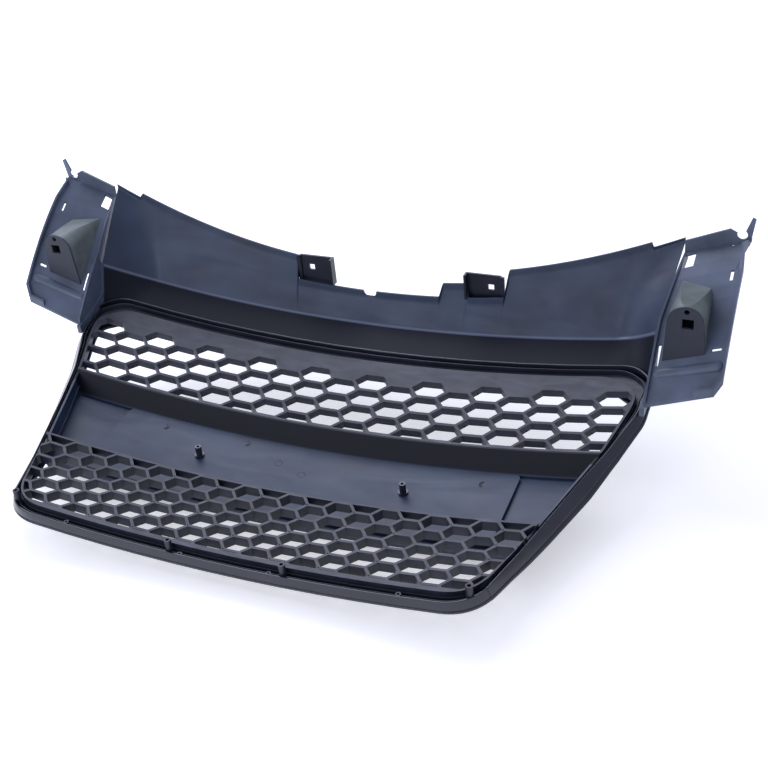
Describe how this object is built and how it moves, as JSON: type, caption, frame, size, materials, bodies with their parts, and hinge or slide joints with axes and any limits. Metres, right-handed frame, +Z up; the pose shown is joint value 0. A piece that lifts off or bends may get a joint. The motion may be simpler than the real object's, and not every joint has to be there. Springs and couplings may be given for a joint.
{
  "type": "front grille",
  "caption": "Shield-shaped front grille for a car, with honeycomb upper and lower inserts, a number-plate panel between them, a closing panel above and a headlamp wing at each side.",
  "frame": {"origin": "midway between the front mouths of the two number-plate screw nuts, on the plane of near-symmetry", "axes": "+Z is up on the car, -Y is the front of the car, +X is the car's left"},
  "size_m": [0.95, 0.2675, 0.4792],
  "materials": {
    "shell": "satin moulded ABS",
    "mesh": "satin moulded ABS",
    "trim_gloss": "satin back, glossy front",
    "insert_nut": "smooth nylon",
    "clip": "matte acetal"
  },
  "bodies": {
    "root": {"upper_panel": "shell", "wing_left": "shell", "wing_right": "shell", "tower_left": "shell", "tower_right": "shell", "bracket_left": "shell", "bracket_right": "shell", "upper_insert": "mesh", "lower_insert": "mesh", "plate_panel": "shell", "plate_nuts": "insert_nut", "surround_frame": "shell", "frame_posts": "shell", "trim_ring": "trim_gloss", "trim_studs": "trim_gloss", "edge_clip_left": "clip", "edge_clip_right": "clip"}
  },
  "joints": []
}
